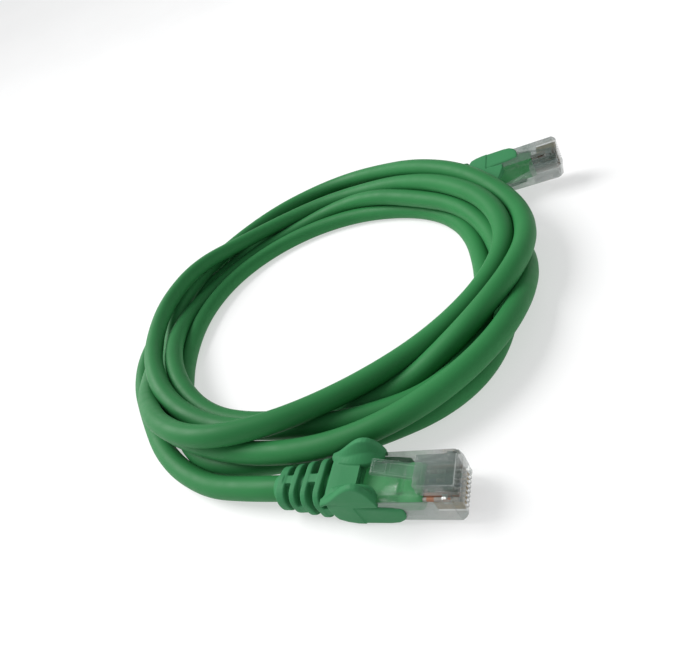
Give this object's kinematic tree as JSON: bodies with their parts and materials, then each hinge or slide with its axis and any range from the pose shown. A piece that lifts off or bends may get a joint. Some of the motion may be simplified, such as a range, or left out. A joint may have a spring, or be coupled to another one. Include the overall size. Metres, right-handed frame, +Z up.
{
  "type": "ethernet patch cable",
  "caption": "Coiled green network patch cable with a clear eight-position modular plug, spring latch and ribbed snag-guard boot on each end.",
  "frame": {"origin": "middle of the overall box, on the surface that the coil lies on", "axes": "+Z up; the coil lies in the XY plane with plug a in front at -Y and plug b at +X"},
  "size_m": [0.1684, 0.184, 0.0192],
  "materials": {
    "jacket": "satin extruded cable jacket",
    "boot": "fine matte moulded",
    "clear": "clear moulded polycarbonate",
    "contact": "gold plated",
    "wire_white_orange": "thin solid-colour insulation",
    "wire_orange": "thin solid-colour insulation",
    "wire_white_green": "thin solid-colour insulation",
    "wire_blue": "thin solid-colour insulation",
    "wire_white_blue": "thin solid-colour insulation",
    "wire_green": "thin solid-colour insulation",
    "wire_white_brown": "thin solid-colour insulation",
    "wire_brown": "thin solid-colour insulation"
  },
  "bodies": {
    "cable": {"plug_a_housing": "clear", "plug_a_contacts": "contact", "plug_a_jacket_end": "jacket", "plug_a_wire_white_orange": "wire_white_orange", "plug_a_wire_orange": "wire_orange", "plug_a_wire_white_green": "wire_white_green", "plug_a_wire_blue": "wire_blue", "plug_a_wire_white_blue": "wire_white_blue", "plug_a_wire_green": "wire_green", "plug_a_wire_white_brown": "wire_white_brown", "plug_a_wire_brown": "wire_brown", "boot_a": "boot", "plug_b_housing": "clear", "plug_b_contacts": "contact", "plug_b_jacket_end": "jacket", "plug_b_wire_white_orange": "wire_white_orange", "plug_b_wire_orange": "wire_orange", "plug_b_wire_white_green": "wire_white_green", "plug_b_wire_blue": "wire_blue", "plug_b_wire_white_blue": "wire_white_blue", "plug_b_wire_green": "wire_green", "plug_b_wire_white_brown": "wire_white_brown", "plug_b_wire_brown": "wire_brown", "boot_b": "boot", "cable_tail_a": "jacket", "cable_coil": "jacket", "cable_tail_b": "jacket"},
    "latch_a": {"plug_a_latch": "clear"},
    "latch_b": {"plug_b_latch": "clear"}
  },
  "joints": [
    {"name": "latch_a_press", "type": "hinge", "parent": "cable", "child": "latch_a", "pos_m": [-0.00249, -0.08632, 0.00764], "axis": [-0.5488, -0.8344, -0.05], "range_deg": [0, 12], "stiffness_Nm_per_rad": 0.3},
    {"name": "latch_b_press", "type": "hinge", "parent": "cable", "child": "latch_b", "pos_m": [0.07868, -0.00076, 0.00898], "axis": [0.2079, 0.2031, -0.9568], "range_deg": [0, 12], "stiffness_Nm_per_rad": 0.3}
  ]
}
